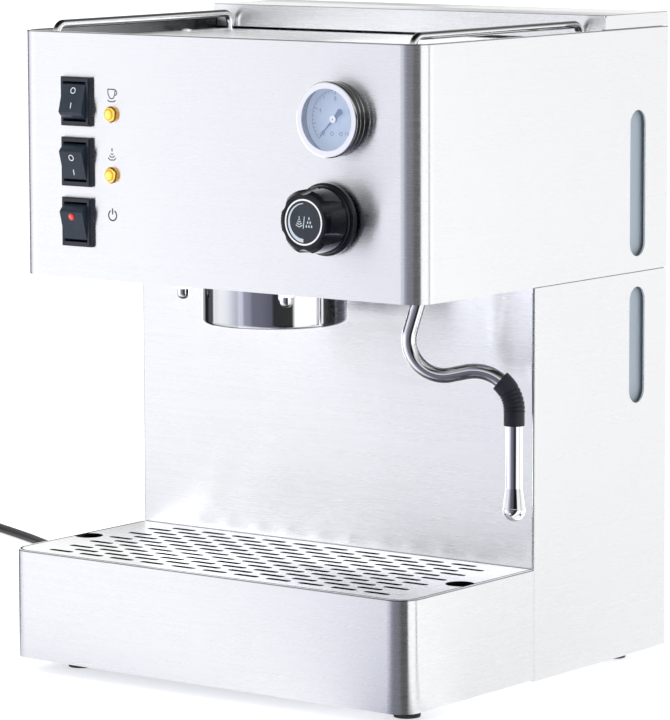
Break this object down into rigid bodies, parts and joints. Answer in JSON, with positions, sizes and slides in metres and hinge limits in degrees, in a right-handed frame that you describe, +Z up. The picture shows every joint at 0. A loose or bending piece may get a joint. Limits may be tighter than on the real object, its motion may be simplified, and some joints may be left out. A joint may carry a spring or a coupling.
{
  "type": "espresso machine",
  "caption": "Semi-automatic espresso machine in a brushed steel housing: brewing group, steam wand, pressure gauge, rocker switches, lift-out drip tray and rear water tank.",
  "frame": {"origin": "on the table, under the middle of the machine's outline without its cord", "axes": "+Z up, -Y out of the front with the controls, +X to the right of someone who faces the controls"},
  "size_m": [0.7442, 0.4004, 0.3872],
  "materials": {
    "brushed_housing": "horizontally brushed stainless steel sheet",
    "inner_sheet": "plain zinc-grey sheet inside the housing",
    "polished_steel": "polished",
    "chrome_collar": "mirror polished",
    "chrome_rail": "polished tube",
    "chrome_wand": "polished tube",
    "rubber_foot": "matt black rubber",
    "black_grip": "ribbed black rubber",
    "black_seal": "matt",
    "black_plastic": "glossy black plastic",
    "tray_plastic": "matt black plastic",
    "switch_plastic": "satin-gloss black plastic",
    "rocker_plastic": "glossy black plastic",
    "cap_plastic": "matt dark grey plastic",
    "lamp_lens": "amber translucent lens",
    "gauge_body": "grey steel cup",
    "gauge_face": "pale blue-grey dial",
    "gauge_pointer": "dark painted pointer",
    "clear_glass": "flat clear glass",
    "brass_part": "machined brass",
    "copper_pipe": "bent copper-coloured tube",
    "heater_steel": "grey steel sheath",
    "white_plastic": "off-white plastic",
    "tank_plastic": "blue-grey see-through plastic",
    "hose_silicone": "milky silicone",
    "cord_rubber": "smooth black cord sheath"
  },
  "bodies": {
    "machine": {"head_shell": "brushed_housing", "head_floor": "brushed_housing", "column_shell": "brushed_housing", "base_shell": "brushed_housing", "floor_plate": "inner_sheet", "back_panel": "brushed_housing", "feet": "rubber_foot", "case_screws": "polished_steel", "cup_tray": "brushed_housing", "rail_left": "chrome_rail", "rail_right": "chrome_rail", "tank_shelf": "inner_sheet", "terminal_block": "white_plastic", "group_collar": "chrome_collar", "group_bell": "brass_part", "acorn_nuts": "polished_steel", "group_gasket": "black_seal", "water_spreader": "brass_part", "shower_screen": "polished_steel", "boiler_shell": "brass_part", "boiler_cap": "brass_part", "boiler_bolts": "polished_steel", "heating_element": "heater_steel", "thermostats": "white_plastic", "pump_body": "black_plastic", "pump_nozzles": "brass_part", "pump_bracket": "inner_sheet", "pump_mounts": "black_seal", "water_pipes": "copper_pipe", "suction_hose": "hose_silicone", "tank_dock": "white_plastic", "steam_valve": "brass_part", "steam_pipes": "copper_pipe", "gauge_case": "gauge_body", "gauge_bezel": "chrome_collar", "gauge_dial": "gauge_face", "gauge_glass": "clear_glass", "switch_frames": "switch_plastic", "pilot_lamps": "lamp_lens", "wand_socket": "polished_steel", "strain_relief": "cord_rubber", "power_cord": "cord_rubber", "cord_coil": "cord_rubber", "plug": "cord_rubber"},
    "rocker_brew": {"rocker_brew": "rocker_plastic"},
    "rocker_steam": {"rocker_steam": "rocker_plastic"},
    "rocker_power": {"rocker_power": "rocker_plastic"},
    "steam_knob": {"steam_knob": "black_plastic", "knob_cap": "cap_plastic", "steam_spindle": "polished_steel"},
    "gauge_needle": {"gauge_needle": "gauge_pointer"},
    "wand_cup": {"wand_seat": "brass_part"},
    "wand": {"wand_pipe": "chrome_wand", "wand_grip": "black_grip", "wand_nozzle": "chrome_wand"},
    "drip_tray": {"drip_tray": "tray_plastic"},
    "drip_grid": {"drip_grid": "brushed_housing"},
    "water_tank": {"water_tank": "tank_plastic", "tank_valve": "white_plastic"},
    "tank_lid": {"tank_lid": "brushed_housing"}
  },
  "joints": [
    {"name": "brew_rocker", "type": "hinge", "parent": "machine", "child": "rocker_brew", "pos_m": [-0.0994, -0.1116, 0.3386], "axis": [1, 0, 0], "range_deg": [0, 30]},
    {"name": "steam_rocker", "type": "hinge", "parent": "machine", "child": "rocker_steam", "pos_m": [-0.0994, -0.1116, 0.3036], "axis": [1, 0, 0], "range_deg": [-30, 0]},
    {"name": "power_rocker", "type": "hinge", "parent": "machine", "child": "rocker_power", "pos_m": [-0.0994, -0.1116, 0.2686], "axis": [1, 0, 0], "range_deg": [-30, 0]},
    {"name": "steam_knob_turn", "type": "hinge", "parent": "machine", "child": "steam_knob", "pos_m": [0.0836, -0.1136, 0.2803], "axis": [0, -1, 0], "range_deg": [0, 270]},
    {"name": "gauge_needle_turn", "type": "hinge", "parent": "machine", "child": "gauge_needle", "pos_m": [0.0882, -0.1136, 0.336], "axis": [0, 1, 0], "range_deg": [0, 270], "stiffness_Nm_per_rad": 0.001, "springref_deg": -17.19},
    {"name": "wand_swivel", "type": "hinge", "parent": "machine", "child": "wand_cup", "pos_m": [0.099, -0.0406, 0.2496], "axis": [0, 0, 1], "range_deg": [-135, 10]},
    {"name": "wand_tilt", "type": "hinge", "parent": "wand_cup", "child": "wand", "pos_m": [0.099, -0.0406, 0.2496], "axis": [-0.4226, 0.9063, 0], "range_deg": [-10, 4]},
    {"name": "drip_tray_lift", "type": "slide", "parent": "machine", "child": "drip_tray", "axis": [0, 0, 1], "range_m": [0, 0.01]},
    {"name": "drip_grid_lift", "type": "slide", "parent": "drip_tray", "child": "drip_grid", "axis": [0, 0, 1], "range_m": [0, 0.016]},
    {"name": "water_tank_lift", "type": "slide", "parent": "machine", "child": "water_tank", "axis": [0, 0, 1], "range_m": [0, 0.262]},
    {"name": "tank_lid_lift", "type": "slide", "parent": "water_tank", "child": "tank_lid", "axis": [0, 0, 1], "range_m": [0, 0.06]}
  ]
}
